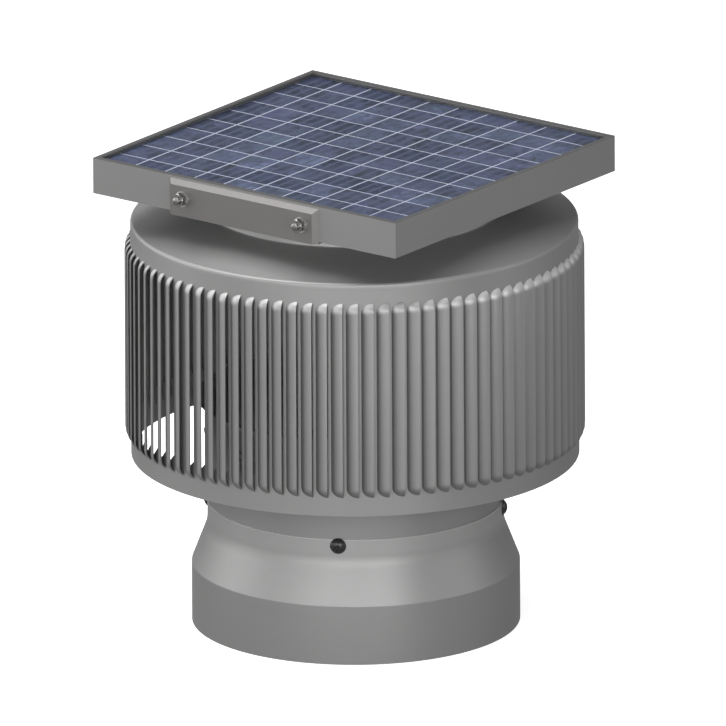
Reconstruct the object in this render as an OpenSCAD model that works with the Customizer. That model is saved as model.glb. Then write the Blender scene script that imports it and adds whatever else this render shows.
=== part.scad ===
// Pipe cap ventilator: a pipe collar, a fan in a throat tube, a louvred drum under a
// spun cap, and a flat solar panel held over the cap by two pressed brackets.
// Origin: centre of the collar's lower rim. +Z is up, the panel's sides run along X and Y.

/* [Pipe collar] */
// Outer diameter of the vent pipe that the collar slides over
pipe_d = 323.9; // [310:0.1:340]
// Radial slip clearance between pipe and collar
pipe_clearance = 0.6; // [0.3:0.05:1.5]
// Thickness of the collar's sheet
collar_wall = 1.6; // [1.2:0.1:2.4]
// Height of the straight sleeve that covers the pipe
sleeve_h = 60.8; // [40:0.1:90]
// Radius of the fold between the sleeve and the cone
collar_fold_r = 3; // [2:0.1:4]
// Height of the cone between the sleeve and the neck ring
cone_h = 41.2; // [35:0.1:80]
// Radius of the hollow curve between the cone and the neck ring
collar_fillet_r = 38; // [20:1:44]
// Height of the neck ring that clamps the throat tube
neck_ring_h = 23.5; // [22:0.5:30]
// Radial fit between the neck ring and the throat tube
neck_fit = 0.1; // [0.05:0.05:0.3]
// Number of round-headed screws through the neck ring
collar_screw_count = 4; // [3:1:6]
// Angle of the first collar screw
collar_screw_phase = 30; // [10:1:60]
// Depth of the collar screws below the neck ring's upper edge
collar_screw_drop = 6.2; // [5:0.1:7]
// Diameter of a collar screw's shank
collar_screw_d = 8; // [5:0.5:8]
// Diameter of a collar screw's round head
collar_head_d = 16.4; // [11:0.1:17]
// Height of a collar screw's round head
collar_head_h = 4.6; // [3.5:0.1:5.5]

/* [Throat tube] */
// Outer diameter of the throat tube
throat_d = 293.2; // [286:0.1:300]
// Thickness of the throat tube's sheet
throat_wall = 1.2; // [0.8:0.1:1.6]
// Depth of the throat tube inside the neck ring
throat_insert = 13.5; // [12.5:0.5:14]
// Length of bare throat tube between the neck ring and the drum's lower edge
neck_gap = 48.5; // [40:0.5:70]
// Straight length of the throat tube above the drum's lower edge
throat_rise = 46; // [44:1:70]
// Radius of the flared lip at the throat tube's top
bell_r = 12; // [6:0.5:16]

/* [Louvred drum] */
// Outer diameter of the drum's shell
drum_d = 448.6; // [440:0.2:470]
// Thickness of the drum's sheet
drum_wall = 1.2; // [1:0.1:1.6]
// Height of the drum's shell
drum_h = 237; // [200:1:280]
// Number of louvres
louver_count = 92; // [24:1:94]
// Angle of the first louvre's slit
louver_phase = 2.5; // [0:0.1:3.9]
// Width of one louvre from its fold to its slit
louver_w = 12.3; // [10:0.1:12.5]
// Height of the louvre's lip above the shell
louver_rise = 5.9; // [4:0.1:7]
// Length over which a louvre's end slopes down to the shell
louver_end = 10; // [7:0.5:14]
// Gap between a louvre's lip and the edge of its slit
shear_gap = 0.1; // [0.05:0.05:0.3]
// Plain band of shell below the louvres
louver_base = 19; // [10:0.5:30]
// Plain band of shell above the louvres
louver_head = 14; // [12:0.5:25]
// Height of the shell's opening above the lower end of its louvre
slot_lift = 19; // [15:0.5:40]

/* [Cap] */
// Thickness of the cap's sheet
cap_wall = 1.2; // [0.8:0.1:1.6]
// Radius of the cap's rolled outer edge
cap_edge_r = 3.5; // [2.5:0.1:5]
// Height of the cap's straight side below its rolled edge
cap_side_h = 3; // [1:0.5:8]
// Slope of the cap's cone
cap_slope = 11.5; // [8:0.5:16]
// Diameter of the raised hub that carries the panel
hub_d = 300; // [290:1:330]
// Height of the raised hub above the cone
hub_h = 20.2; // [16:0.1:30]
// Radius of the hub's top edge
hub_edge_r = 3; // [2:0.5:4]
// Distance of the wire grommet from the centre of the hub
grommet_offset = 70; // [50:1:90]
// Bore of the wire grommet
grommet_bore_d = 9; // [6:0.5:10]

/* [Drum stays] */
// Number of stays between throat tube, drum and cap
stay_count = 4; // [2:2:4]
// Angle of the first stay
stay_phase = -14; // [-30:1:30]
// Width of a stay
stay_w = 20; // [16:1:24]
// Thickness of a stay
stay_t = 2; // [1.5:0.1:2.5]
// Height of a stay's foot on the throat tube
stay_foot_h = 24; // [22:1:30]
// Height of a stay's foot above the drum's lower edge
stay_lift = 2; // [1:0.5:4]
// Length of a stay's head under the cap
stay_head = 25; // [18:1:35]
// Diameter of a rivet's shank
rivet_d = 4.8; // [4:0.2:5]

/* [Motor] */
// Height of the motor bracket's plate above the drum's lower edge
bracket_lift = 13; // [12:0.5:18]
// Thickness of the motor bracket
bracket_plate_t = 3; // [2.5:0.1:4]
// Width of a motor bracket arm
arm_w = 20; // [16:1:24]
// Height of the upturned tab at the end of an arm
arm_tab_h = 25; // [23:1:28]
// Outer diameter of the motor can
motor_d = 76; // [66:1:90]
// Height of the motor can
motor_h = 56; // [52:1:80]
// Thickness of the motor can
motor_wall = 1.5; // [1:0.1:2]
// Diameter of the motor shaft
shaft_d = 8; // [6:0.5:9]
// Running clearance of the shaft in its bearings
shaft_clearance = 0.02; // [0.01:0.01:0.1]
// Outer diameter of the ball bearings
bearing_d = 22; // [19:0.5:24]
// Width of the ball bearings
bearing_w = 7; // [5:0.5:8]
// Radial air gap between armature and magnets
air_gap = 1.5; // [1:0.1:3]
// Thickness of the magnets
magnet_t = 10; // [7:0.5:12]

/* [Fan] */
// Number of blades
blade_count = 5; // [3:1:6]
// Gap between the blade tips and the throat tube
tip_clearance = 6; // [4:0.5:12]
// Pitch of the blades
blade_pitch = 28; // [18:1:32]
// Thickness of the blades' sheet
blade_t = 1.2; // [1:0.1:2]
// Radius of the blades' camber
camber_r = 240; // [180:5:400]
// Depth of the fan's plane below the drum's lower edge
fan_drop = 26; // [22:1:28]
// Diameter of the fan's centre disc
disc_d = 68; // [60:1:80]
// Thickness of the fan's spider
spider_t = 2.5; // [2:0.1:3]
// Diameter of the fan's hub boss
boss_d = 28; // [24:1:34]
// Height of the fan's hub boss
boss_h = 24; // [20:1:26]

/* [Solar panel] */
// Size of the panel along X
panel_x = 378; // [360:1:400]
// Size of the panel along Y
panel_y = 366; // [360:1:400]
// Height of the panel frame
panel_h = 37.3; // [33:0.1:42]
// Width of the frame's top lip
lip_w = 5.5; // [4.5:0.1:7]
// Wall thickness of the frame rails
rail_wall = 1.8; // [1.4:0.1:2.2]
// Width of the frame's bottom flange
rail_flange = 20; // [15:1:25]
// Thickness of the glass
glass_t = 3.2; // [2.5:0.1:4]
// Thickness of the backsheet
backsheet_t = 0.5; // [0.4:0.1:1]
// Thickness of a cell
cell_t = 0.3; // [0.2:0.05:0.5]
// Number of cells along each side
cell_count = 10; // [4:1:10]
// Distance from one cell to the next
cell_pitch = 36.5; // [34:0.5:38]
// Gap between two cells
cell_gap = 2.2; // [1:0.1:3]
// Size of the junction box across and along the panel
junction_size = 60; // [45:1:70]
// Depth of the junction box
junction_h = 16; // [13:0.5:17]

/* [Panel brackets] */
// Length of a panel bracket
bracket_l = 186; // [170:1:200]
// Thickness of a panel bracket's sheet
bracket_t = 2.5; // [2:0.1:3]
// Stand-off of a bracket's face from the panel frame
bracket_depth = 5; // [4.5:0.1:6]
// Width of a bracket's flange on the hub
flange_w = 62; // [54:1:66]
// Distance of the bracket's top edge below the panel's top face
bracket_top_drop = 3; // [2:0.5:5]
// Distance of the side bolts from the bracket's ends
side_bolt_inset = 19; // [17:0.5:28]
// Height of the side bolts above the panel's underside
side_bolt_h = 16; // [13:0.5:18]
// Diameter of the side bolts
side_bolt_d = 8; // [6:0.5:8]
// Distance between a bracket's two flange bolts
flange_bolt_spacing = 100; // [80:1:110]
// Distance of the flange bolts from the flange's inner edge
flange_bolt_inset = 10; // [8:0.5:12]
// Diameter of the flange bolts
flange_bolt_d = 6; // [5:0.5:6]

/* [Hidden] */
$fn = 96;

// Gap left where a flat tab meets a curved wall, or a curved wall meets another
seat = 0.05;
// Radial clearance of a rivet or screw in its hole
hole_fit = 0.15;
// Overreach of a cutting body past the face that it cuts
cut = 1;
// Half-size of a body that cuts away everything on one side of a plane
half_space = 60;

collar_bore_r = pipe_d / 2 + pipe_clearance;
sleeve_r = collar_bore_r + collar_wall;
throat_r = throat_d / 2;
throat_bore_r = throat_r - throat_wall;
ring_bore_r = throat_r + neck_fit;
ring_r = ring_bore_r + collar_wall;
ring_z = sleeve_h + cone_h;
ring_top = ring_z + neck_ring_h;
throat_z = ring_top - throat_insert;
collar_screw_z = ring_top - collar_screw_drop;
// The cone leans in by this angle, and its curves begin this far from the corners that they round
collar_lean = atan((sleeve_r - ring_r) / cone_h);
collar_turn = tan(collar_lean / 2);

drum_z = ring_top + neck_gap;
drum_r = drum_d / 2;
drum_top = drum_z + drum_h;
bell_z = drum_z + throat_rise;
louver_z0 = drum_z + louver_base;
louver_z1 = drum_top - louver_head;
// The louvre's section is an arc that is tangent to the circumference at the lip
arc_r = (louver_w * louver_w + louver_rise * louver_rise) / (2 * louver_rise);
arc_sink = arc_r - louver_rise;
// The plane that closes a louvre's end leans along the radius and along the circumference
end_lean = louver_end / louver_rise;
end_skew = louver_end * 0.75 / louver_w;
end_turn_y = -atan(end_lean);
end_turn_x = -atan(end_skew * cos(end_turn_y));
end_wall = drum_wall * sqrt(1 + end_lean * end_lean + end_skew * end_skew);

cap_r = drum_r;
cap_z = drum_top + seat;
cap_edge_x = cap_r - cap_edge_r;
cap_edge_z = cap_z + cap_side_h;
hub_r = hub_d / 2;
function cone_z(r, o) = cap_edge_z + (cap_edge_r - o) * cos(cap_slope)
    + (cap_edge_x + (cap_edge_r - o) * sin(cap_slope) - r) * tan(cap_slope);
hub_foot = cone_z(hub_r, 0);
hub_top = hub_foot + hub_h;
hub_under = hub_top - cap_wall;
grommet_neck_r = grommet_bore_d / 2 + 2;
grommet_flange_r = grommet_neck_r + 2.5;
grommet_flange_t = 2;

stay_step = 360 / stay_count;
stay_z = drum_z + stay_lift;
function flat_on_bore(r, w) = sqrt(pow(r - seat, 2) - w * w / 4);
stay_x0 = throat_r + seat;
stay_x1 = flat_on_bore(drum_r - drum_wall, stay_w);
stay_rivet_z = stay_z + stay_foot_h * 0.6;
rivet_r = rivet_d / 2;
rivet_head_r = rivet_r * 1.8;
rivet_head_h = rivet_r * 0.7;

bracket_z = drum_z + bracket_lift;
bracket_top = bracket_z + bracket_plate_t;
arm_count = 4;
arm_step = 360 / arm_count;
arm_phase = arm_step / 2;
arm_x = flat_on_bore(throat_bore_r, arm_w);
arm_screw_d = 5;
arm_screw_z = bracket_z + arm_tab_h * 0.62;
plate_r = motor_d / 2 + 8;
shaft_r = shaft_d / 2;
bearing_r = bearing_d / 2;
bearing_bore_r = shaft_r + shaft_clearance;
motor_r = motor_d / 2;
can_bore_r = motor_r - motor_wall;
can_floor_t = 2.5;
can_vent_w = 5;
can_vent_h = 9;
can_vent_drop = 20;
can_vent_count = 8;
boss_wall = 2.5;
front_boss_r = bearing_r + boss_wall;
front_boss_h = 5;
front_boss_z = bracket_top - front_boss_h;
motor_top = bracket_top + motor_h;
bell_cap_t = 3;
bell_spigot_h = 4;
bell_spigot_wall = 4;
terminal_x = 24;
terminal_w = 9;
terminal_t = 1;
terminal_h = 11;
rear_bearing_z = motor_top - bearing_w + bell_cap_t;
shaft_top = rear_bearing_z + bearing_w - 1;
magnet_r = can_bore_r - seat;
magnet_bore_r = magnet_r - magnet_t;
armature_r = magnet_bore_r - air_gap;
armature_z = bracket_top + 14;
armature_h = 24;
commutator_r = 9;
commutator_h = 7;
commutator_z = armature_z + armature_h + 3;
slot_count = 10;
slot_w = 2;
brush_w = 5;
brush_card_t = 2;
brush_card_z = commutator_z - brush_card_t;
magnet_over = 3;
magnet_card_gap = 0.3;
magnet_z = armature_z - magnet_over;
magnet_h = brush_card_z - magnet_card_gap - magnet_z;
motor_screw_r = 27;
motor_screw_d = 4;

fan_z = drum_z - fan_drop;
fan_r = throat_bore_r - tip_clearance;
disc_r = disc_d / 2;
boss_r = boss_d / 2;
blade_step = 360 / blade_count;
blade_root = disc_r + 4;
blade_root_w = 46;
blade_body_r = fan_r * 0.4;
blade_body_x = fan_r * 0.63;
blade_arm_w = 24;
blade_arm_end = disc_r + 32;
blade_rivets_x = [disc_r + 11, disc_r + 25];
blade_rivet_r = 2;
blade_rivet_head_r = 3.6;
blade_rivet_head_h = 1.4;
set_screw_d = 5;
set_screw_z = fan_z - boss_h * 0.3;

panel_z = hub_top + bracket_t;
panel_top = panel_z + panel_h;
glass_top = panel_top - rail_wall;
cell_top = glass_top - glass_t;
backsheet_top = cell_top - cell_t;
backsheet_z = backsheet_top - backsheet_t;
shelf_top = backsheet_z - 0.1;
shelf_t = 1.6;
shelf_w = 10;
glass_gap = 0.3;
glass_x = panel_x / 2 - rail_wall - glass_gap;
glass_y = panel_y / 2 - rail_wall - glass_gap;
cell_edge = 1.5;
cell_shift_x = 4;
cell_shift_y = -1.5;
mitre = 32;
corner_leg = 26;
corner_t = 2;
corner_h = 22;
junction_z = backsheet_z - junction_h;
junction_y = junction_size * 0.82;
junction_wall = 2;
lid_t = 2.5;
lid_lip = 1.5;
gland_r = 7;
gland_bore_r = 3;

flange_z = panel_z - bracket_t;
bracket_top_z = panel_top - bracket_top_drop;
side_bolt_z = panel_z + side_bolt_h;
side_bolt_spacing = bracket_l - 2 * side_bolt_inset;
side_bolt_r = side_bolt_d / 2;
side_nut_h = side_bolt_d * 0.8;
side_nut_r = side_bolt_d * 0.94;
side_washer_r = side_bolt_d;
side_washer_t = 1.6;
side_bolt_proud = 3;
flange_bolt_r = flange_bolt_d / 2;
flange_bolt_y = panel_y / 2 - flange_w + flange_bolt_inset;
flange_nut_h = flange_bolt_d * 0.8;
flange_nut_r = flange_bolt_d * 0.94;
flange_washer_t = 1.2;

sheet_grey = [0.58, 0.58, 0.57];
bracket_grey = [0.47, 0.47, 0.44];
frame_grey = [0.5, 0.51, 0.5];
steel = [0.74, 0.74, 0.72];
black = [0.12, 0.12, 0.12];
blade_metal = [0.7, 0.71, 0.72];
dark_steel = [0.34, 0.35, 0.36];
copper = [0.72, 0.42, 0.25];
cell_blue = [0.22, 0.24, 0.4];

function numbered(name, count) = [for (i = [1:count]) str(name, i)];

// Turns a shape made along +Z so that it points outwards along +X
module outwards() {
    rotate([0, 90, 0]) children();
}

// Repeats a shape around the vertical axis
module around(count, phase) {
    for (i = [0:count - 1]) rotate([0, 0, phase + i * 360 / count]) children();
}

// Hexagon of a given corner radius, extruded
module hexagon(r, h) {
    cylinder(r = r, h = h, $fn = 6);
}

// Hollow straight tube
module tube(r_out, r_in, h) {
    difference() {
        cylinder(r = r_out, h = h);
        translate([0, 0, -cut]) cylinder(r = r_in, h = h + 2 * cut);
    }
}

// Domed head: a slice of a sphere on a flat base of radius r
module dome(r, h) {
    ball = (r * r + h * h) / (2 * h);
    rotate_extrude() intersection() {
        translate([0, h - ball]) circle(r = ball);
        square([r, h]);
    }
}

// Half-section of everything inside the collar's surface, drawn in by o and longer by over at both ends
module collar_form(o, over) {
    fold_x = sleeve_r - collar_fold_r;
    fold_z = sleeve_h - collar_fold_r * collar_turn;
    fold = collar_fold_r - o;
    neck_x = ring_r + collar_fillet_r;
    neck_z = ring_z + collar_fillet_r * collar_turn;
    neck = collar_fillet_r + o;
    translate([0, -over]) square([sleeve_r - o, fold_z + over]);
    translate([fold_x, fold_z]) circle(r = fold);
    difference() {
        polygon([
            [0, fold_z - cut], [fold_x, fold_z - cut],
            [fold_x + fold * cos(collar_lean), fold_z + fold * sin(collar_lean)],
            [neck_x - neck * cos(collar_lean), neck_z - neck * sin(collar_lean)],
            [ring_r - o, neck_z], [0, neck_z]
        ]);
        translate([neck_x, neck_z]) circle(r = neck);
    }
    translate([0, neck_z - cut]) square([ring_r - o - cut, 2 * cut]);
    translate([0, neck_z]) square([ring_r - o, ring_top + over - neck_z]);
}

module pipe_collar() {
    color(sheet_grey) difference() {
        rotate_extrude($fn = 180) difference() {
            collar_form(0, 0);
            collar_form(collar_wall, cut);
        }
        around(collar_screw_count, collar_screw_phase)
            translate([ring_bore_r - cut, 0, collar_screw_z])
                outwards() cylinder(d = collar_screw_d + 2 * hole_fit, h = 2 * cut + collar_wall);
    }
}

collar_nut_r = collar_screw_d * 0.9;
collar_nut_h = collar_screw_d * 0.6;
collar_nut_x = flat_on_bore(throat_bore_r, 2 * collar_nut_r);
module collar_screw() {
    socket_r = collar_screw_d * 0.33;
    translate([collar_nut_x - collar_nut_h - 2, 0, 0]) outwards()
        cylinder(d = collar_screw_d, h = ring_r + seat - collar_nut_x + collar_nut_h + 2);
    translate([ring_r + seat, 0, 0]) outwards() difference() {
        dome(collar_head_d / 2, collar_head_h);
        translate([0, 0, collar_head_h * 0.45]) hexagon(socket_r, collar_head_h);
    }
}

module collar_screws() {
    color(black) around(collar_screw_count, collar_screw_phase)
        translate([0, 0, collar_screw_z]) collar_screw();
}

module collar_nuts() {
    color(steel) around(collar_screw_count, collar_screw_phase)
        translate([collar_nut_x - collar_nut_h, 0, collar_screw_z]) outwards() difference() {
            hexagon(collar_nut_r, collar_nut_h);
            translate([0, 0, -cut]) cylinder(d = collar_screw_d + 2 * seat, h = collar_nut_h + 2 * cut);
        }
}

module throat_tube() {
    color(sheet_grey) difference() {
        rotate_extrude($fn = 180) {
            translate([throat_bore_r, throat_z]) square([throat_wall, bell_z - throat_z]);
            translate([throat_r + bell_r, bell_z]) intersection() {
                difference() {
                    circle(r = bell_r + throat_wall);
                    circle(r = bell_r);
                }
                translate([-bell_r - cut - throat_wall, 0])
                    square([bell_r + cut + throat_wall, bell_r + cut + throat_wall]);
            }
        }
        around(collar_screw_count, collar_screw_phase)
            translate([throat_bore_r - cut, 0, collar_screw_z])
                outwards() cylinder(d = collar_screw_d + 2 * hole_fit, h = throat_wall + 2 * cut);
        around(stay_count, stay_phase) translate([throat_bore_r - cut, 0, stay_rivet_z])
            outwards() cylinder(r = rivet_r + hole_fit, h = throat_wall + 2 * cut);
        around(arm_count, arm_phase) translate([throat_bore_r - cut, 0, arm_screw_z])
            outwards() cylinder(d = arm_screw_d + 2 * hole_fit, h = throat_wall + 2 * cut);
    }
}

// Solid form of a louvre: an arc-sided ridge whose ends slope down to the shell.
// The slit's plane is y = 0, and the louvre leaves it clockwise, towards -Y.
module louver_form(r, z0, z1) {
    root = arc_sink - drum_wall * 0.6;
    over = drum_wall * end_lean;
    difference() {
        translate([0, 0, z0 - over]) linear_extrude(height = z1 - z0 + 2 * over) intersection() {
            circle(r = r);
            translate([root, -2 * louver_w]) square([arc_r, 2 * louver_w]);
        }
        for (end = [0, 1]) translate([0, 0, end * (z0 + z1)]) mirror([0, 0, end])
            translate([arc_sink, 0, z0]) rotate([end_turn_x, end_turn_y, 0])
                translate([-half_space, -half_space, -half_space])
                    cube([2 * half_space, 2 * half_space, half_space]);
    }
}

module louver() {
    difference() {
        louver_form(arc_r, louver_z0, louver_z1);
        louver_form(arc_r - drum_wall, louver_z0 + end_wall, louver_z1 - end_wall);
    }
}

// Opening in the shell under a louvre, a little inside the louvre's own walls
module louver_slot() {
    inside = end_wall * 0.75;
    z0 = louver_z0 + slot_lift;
    z1 = louver_z1 - inside;
    w = louver_w - drum_wall * 1.35;
    rise = w * end_skew;
    fold_z0 = max(louver_z0 + inside + rise, z0 - w);
    translate([-2 * drum_wall, 0, 0]) rotate([90, 0, 90]) linear_extrude(height = 4 * drum_wall)
        polygon([[shear_gap, z0], [-w, fold_z0], [-w, z1 - rise], [shear_gap, z1]]);
}

module louvered_drum() {
    color(sheet_grey) {
        difference() {
            translate([0, 0, drum_z]) cylinder(r = drum_r, h = drum_h, $fn = 360);
            translate([0, 0, drum_z - cut])
                cylinder(r = drum_r - drum_wall, h = drum_h + 2 * cut, $fn = 360);
            around(louver_count, louver_phase) translate([drum_r, 0, 0]) louver_slot();
        }
        around(louver_count, louver_phase) translate([drum_r - arc_sink, 0, 0]) louver();
    }
}

// Half-section of everything under the cap's surface, drawn in by o
module cap_form(o, floor_z) {
    edge = cap_edge_r - o;
    tangent_x = cap_edge_x + edge * sin(cap_slope);
    inner_x = hub_r - hub_edge_r - cut;
    translate([0, floor_z]) square([cap_r - o, cap_edge_z - floor_z]);
    translate([cap_edge_x, cap_edge_z]) circle(r = edge);
    polygon([
        [0, cap_edge_z - cut], [tangent_x, cap_edge_z - cut], [tangent_x, cone_z(tangent_x, o)],
        [inner_x, cone_z(inner_x, o)], [0, cone_z(inner_x, o)]
    ]);
    translate([0, cap_edge_z]) square([hub_r - o, hub_top - hub_edge_r - cap_edge_z]);
    translate([hub_r - hub_edge_r, hub_top - hub_edge_r]) circle(r = hub_edge_r - o);
    translate([0, cap_edge_z]) square([hub_r - hub_edge_r, hub_top - o - cap_edge_z]);
}

// Places a shape at both panel brackets, the front one facing -Y and the rear one +Y
module at_sides() {
    for (turn = [0, 180]) rotate([0, 0, turn]) children();
}

module at_flange_bolts() {
    at_sides() for (side = [-1, 1])
        translate([side * flange_bolt_spacing / 2, -flange_bolt_y, 0]) children();
}

module top_cap() {
    color(sheet_grey) difference() {
        rotate_extrude($fn = 180) intersection() {
            difference() {
                cap_form(0, cap_z);
                cap_form(cap_wall, cap_z - cut);
            }
            square([cap_r + cut, hub_top + cut]);
        }
        at_flange_bolts() translate([0, 0, hub_under - cut])
            cylinder(r = flange_bolt_r + hole_fit, h = cap_wall + 2 * cut);
        translate([0, grommet_offset, hub_under - cut])
            cylinder(r = grommet_neck_r + seat, h = cap_wall + 2 * cut);
    }
}

module wire_grommet() {
    lip_t = grommet_flange_t;
    color(black) translate([0, grommet_offset, 0]) difference() {
        union() {
            translate([0, 0, hub_top]) cylinder(r = grommet_flange_r, h = lip_t);
            translate([0, 0, hub_under - cut / 2]) cylinder(r = grommet_neck_r, h = cap_wall + cut);
            translate([0, 0, hub_under - lip_t]) cylinder(r = grommet_flange_r, h = lip_t);
        }
        translate([0, 0, hub_under - lip_t - cut])
            cylinder(d = grommet_bore_d, h = cap_wall + 2 * lip_t + 2 * cut);
    }
}

// Stay: a foot on the throat tube, a spoke, an upright inside the drum and a head under the cap
module drum_stay(i) {
    edge = stay_w / 2;
    head_out = stay_x1 - cap_edge_r * 0.6;
    head_in = stay_x1 - stay_head;
    function under(x) = cone_z(norm([x, edge]), cap_wall) - seat;
    drop = stay_t / cos(cap_slope);
    color(sheet_grey) rotate([0, 0, stay_phase + (i - 1) * stay_step]) difference() {
        translate([0, edge, 0]) rotate([90, 0, 0]) linear_extrude(height = stay_w) polygon([
            [stay_x0, stay_z], [stay_x1, stay_z], [stay_x1, cap_edge_z],
            [head_out, under(head_out) - seat], [head_in, under(head_in)],
            [head_in, under(head_in) - drop],
            [stay_x1 - stay_t, under(stay_x1 - stay_t) - drop],
            [stay_x1 - stay_t, stay_z + stay_t], [stay_x0 + stay_t, stay_z + stay_t],
            [stay_x0 + stay_t, stay_z + stay_foot_h], [stay_x0, stay_z + stay_foot_h]
        ]);
        translate([stay_x0 - cut, 0, stay_rivet_z]) outwards()
            cylinder(r = rivet_r + hole_fit, h = stay_t + 2 * cut);
    }
}

module stay_rivets() {
    tail_x = flat_on_bore(throat_bore_r, 2 * rivet_head_r);
    color(steel) around(stay_count, stay_phase) translate([0, 0, stay_rivet_z]) {
        translate([tail_x - rivet_head_h, 0, 0]) outwards()
            cylinder(r = rivet_r, h = stay_x0 + stay_t - tail_x + rivet_head_h + rivet_head_h / 2);
        translate([tail_x - rivet_head_h, 0, 0]) outwards() cylinder(r = rivet_head_r, h = rivet_head_h);
        translate([stay_x0 + stay_t, 0, 0]) outwards() dome(rivet_head_r, rivet_head_h);
    }
}

module motor_bracket() {
    color(sheet_grey) difference() {
        union() {
            translate([0, 0, bracket_z]) cylinder(r = plate_r, h = bracket_plate_t);
            around(arm_count, arm_phase) {
                translate([plate_r - 8, -arm_w / 2, bracket_z])
                    cube([arm_x - plate_r + 8, arm_w, bracket_plate_t]);
                translate([arm_x - bracket_plate_t, -arm_w / 2, bracket_z])
                    cube([bracket_plate_t, arm_w, arm_tab_h]);
            }
        }
        translate([0, 0, bracket_z - cut])
            cylinder(r = front_boss_r + hole_fit, h = bracket_plate_t + 2 * cut);
        around(arm_count, arm_phase) {
            translate([motor_screw_r, 0, bracket_z - cut])
                cylinder(d = motor_screw_d + 2 * hole_fit, h = bracket_plate_t + 2 * cut);
            translate([arm_x - bracket_plate_t - cut, 0, arm_screw_z]) outwards()
                cylinder(d = arm_screw_d + 2 * hole_fit, h = bracket_plate_t + 2 * cut);
        }
    }
}

arm_head_h = arm_screw_d * 0.7;
arm_head_r = arm_screw_d * 0.9;
arm_nut_h = arm_screw_d * 0.8;
arm_nut_x = throat_r + seat;
module bracket_arm_bolts() {
    head_x = arm_x - bracket_plate_t;
    color(steel) around(arm_count, arm_phase) translate([head_x, 0, arm_screw_z]) {
        translate([-arm_head_h, 0, 0]) outwards() hexagon(arm_head_r, arm_head_h);
        outwards() cylinder(d = arm_screw_d, h = arm_nut_x + arm_nut_h + 2 - head_x);
    }
}

module bracket_arm_nuts() {
    color(steel) around(arm_count, arm_phase) translate([arm_nut_x, 0, arm_screw_z]) outwards()
        difference() {
            hexagon(arm_head_r, arm_nut_h);
            translate([0, 0, -cut]) cylinder(d = arm_screw_d + 2 * seat, h = arm_nut_h + 2 * cut);
        }
}

module motor_screws() {
    head_h = motor_screw_d * 0.6;
    color(steel) around(arm_count, arm_phase) translate([motor_screw_r, 0, bracket_z]) {
        translate([0, 0, -head_h]) cylinder(r = motor_screw_d, h = head_h);
        cylinder(d = motor_screw_d, h = bracket_plate_t + can_floor_t);
    }
}

module motor_can() {
    color(dark_steel) difference() {
        union() {
            translate([0, 0, bracket_top]) cylinder(r = motor_r, h = motor_h);
            translate([0, 0, front_boss_z]) cylinder(r = front_boss_r, h = front_boss_h);
        }
        translate([0, 0, bracket_top + can_floor_t]) cylinder(r = can_bore_r, h = motor_h);
        translate([0, 0, front_boss_z + 1]) cylinder(r = bearing_r + seat, h = front_boss_h + can_floor_t);
        translate([0, 0, front_boss_z - cut]) cylinder(r = bearing_r - 2, h = front_boss_h);
        around(arm_count, arm_phase) translate([motor_screw_r, 0, bracket_top - cut])
            cylinder(d = motor_screw_d + 2 * seat, h = can_floor_t + 2 * cut);
        around(can_vent_count, 0)
            translate([can_bore_r - cut, -can_vent_w / 2, motor_top - can_vent_drop])
                cube([motor_wall + 2 * cut, can_vent_w, can_vent_h]);
    }
}

module motor_end_bell() {
    boss_top = rear_bearing_z + bearing_w + 1;
    spigot_z = motor_top - bell_spigot_h;
    color(black) difference() {
        union() {
            translate([0, 0, motor_top]) cylinder(r = motor_r, h = bell_cap_t);
            translate([0, 0, spigot_z]) cylinder(r = can_bore_r - seat, h = bell_spigot_h);
            translate([0, 0, motor_top]) cylinder(r = front_boss_r, h = boss_top - motor_top);
            for (side = [-1, 1])
                translate([side * terminal_x - terminal_w / 2, -terminal_t / 2, motor_top])
                    cube([terminal_w, terminal_t, terminal_h]);
        }
        translate([0, 0, spigot_z - cut])
            cylinder(r = bearing_r + seat, h = boss_top - spigot_z + cut - 1);
        translate([0, 0, spigot_z - cut]) difference() {
            cylinder(r = can_bore_r - bell_spigot_wall, h = bell_spigot_h + cut);
            cylinder(r = front_boss_r, h = bell_spigot_h + cut);
        }
    }
}

module motor_magnets() {
    magnet_span = 130;
    color(dark_steel) for (turn = [0, 180]) rotate([0, 0, turn - magnet_span / 2])
        translate([0, 0, magnet_z]) rotate_extrude(angle = magnet_span)
            translate([magnet_bore_r, 0]) square([magnet_t, magnet_h]);
}

module brush_card() {
    color(black) difference() {
        translate([0, 0, brush_card_z]) cylinder(r = can_bore_r - seat, h = brush_card_t);
        translate([0, 0, brush_card_z - cut])
            cylinder(r = commutator_r + 1, h = brush_card_t + 2 * cut);
    }
}

module carbon_brushes() {
    brush_l = 10;
    color(dark_steel) for (turn = [0, 180]) rotate([0, 0, turn])
        translate([commutator_r + seat, -brush_w / 2, brush_card_z + brush_card_t])
            cube([brush_l, brush_w, brush_w]);
}

// Ball bearing as one ring with the grooves of its shields
module bearing() {
    groove_r = (bearing_r + bearing_bore_r) / 2;
    color(steel) difference() {
        cylinder(r = bearing_r, h = bearing_w);
        translate([0, 0, -cut]) cylinder(r = bearing_bore_r, h = bearing_w + 2 * cut);
        for (z = [-cut, bearing_w - 0.5]) translate([0, 0, z])
            tube(groove_r + 2, groove_r - 2, cut + 0.5);
    }
}
module lower_bearing() { translate([0, 0, front_boss_z + 1]) bearing(); }
module upper_bearing() { translate([0, 0, rear_bearing_z]) bearing(); }

module motor_shaft() {
    shaft_bottom = fan_z - boss_h / 2 - 2;
    color(steel) translate([0, 0, shaft_bottom]) cylinder(r = shaft_r, h = shaft_top - shaft_bottom);
}

module armature() {
    color(copper) difference() {
        translate([0, 0, armature_z]) cylinder(r = armature_r, h = armature_h);
        translate([0, 0, armature_z - cut]) cylinder(r = shaft_r, h = armature_h + 2 * cut);
        around(slot_count, 0) translate([armature_r * 0.55, -slot_w / 2, armature_z - cut])
            cube([armature_r, slot_w, armature_h + 2 * cut]);
    }
}

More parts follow.
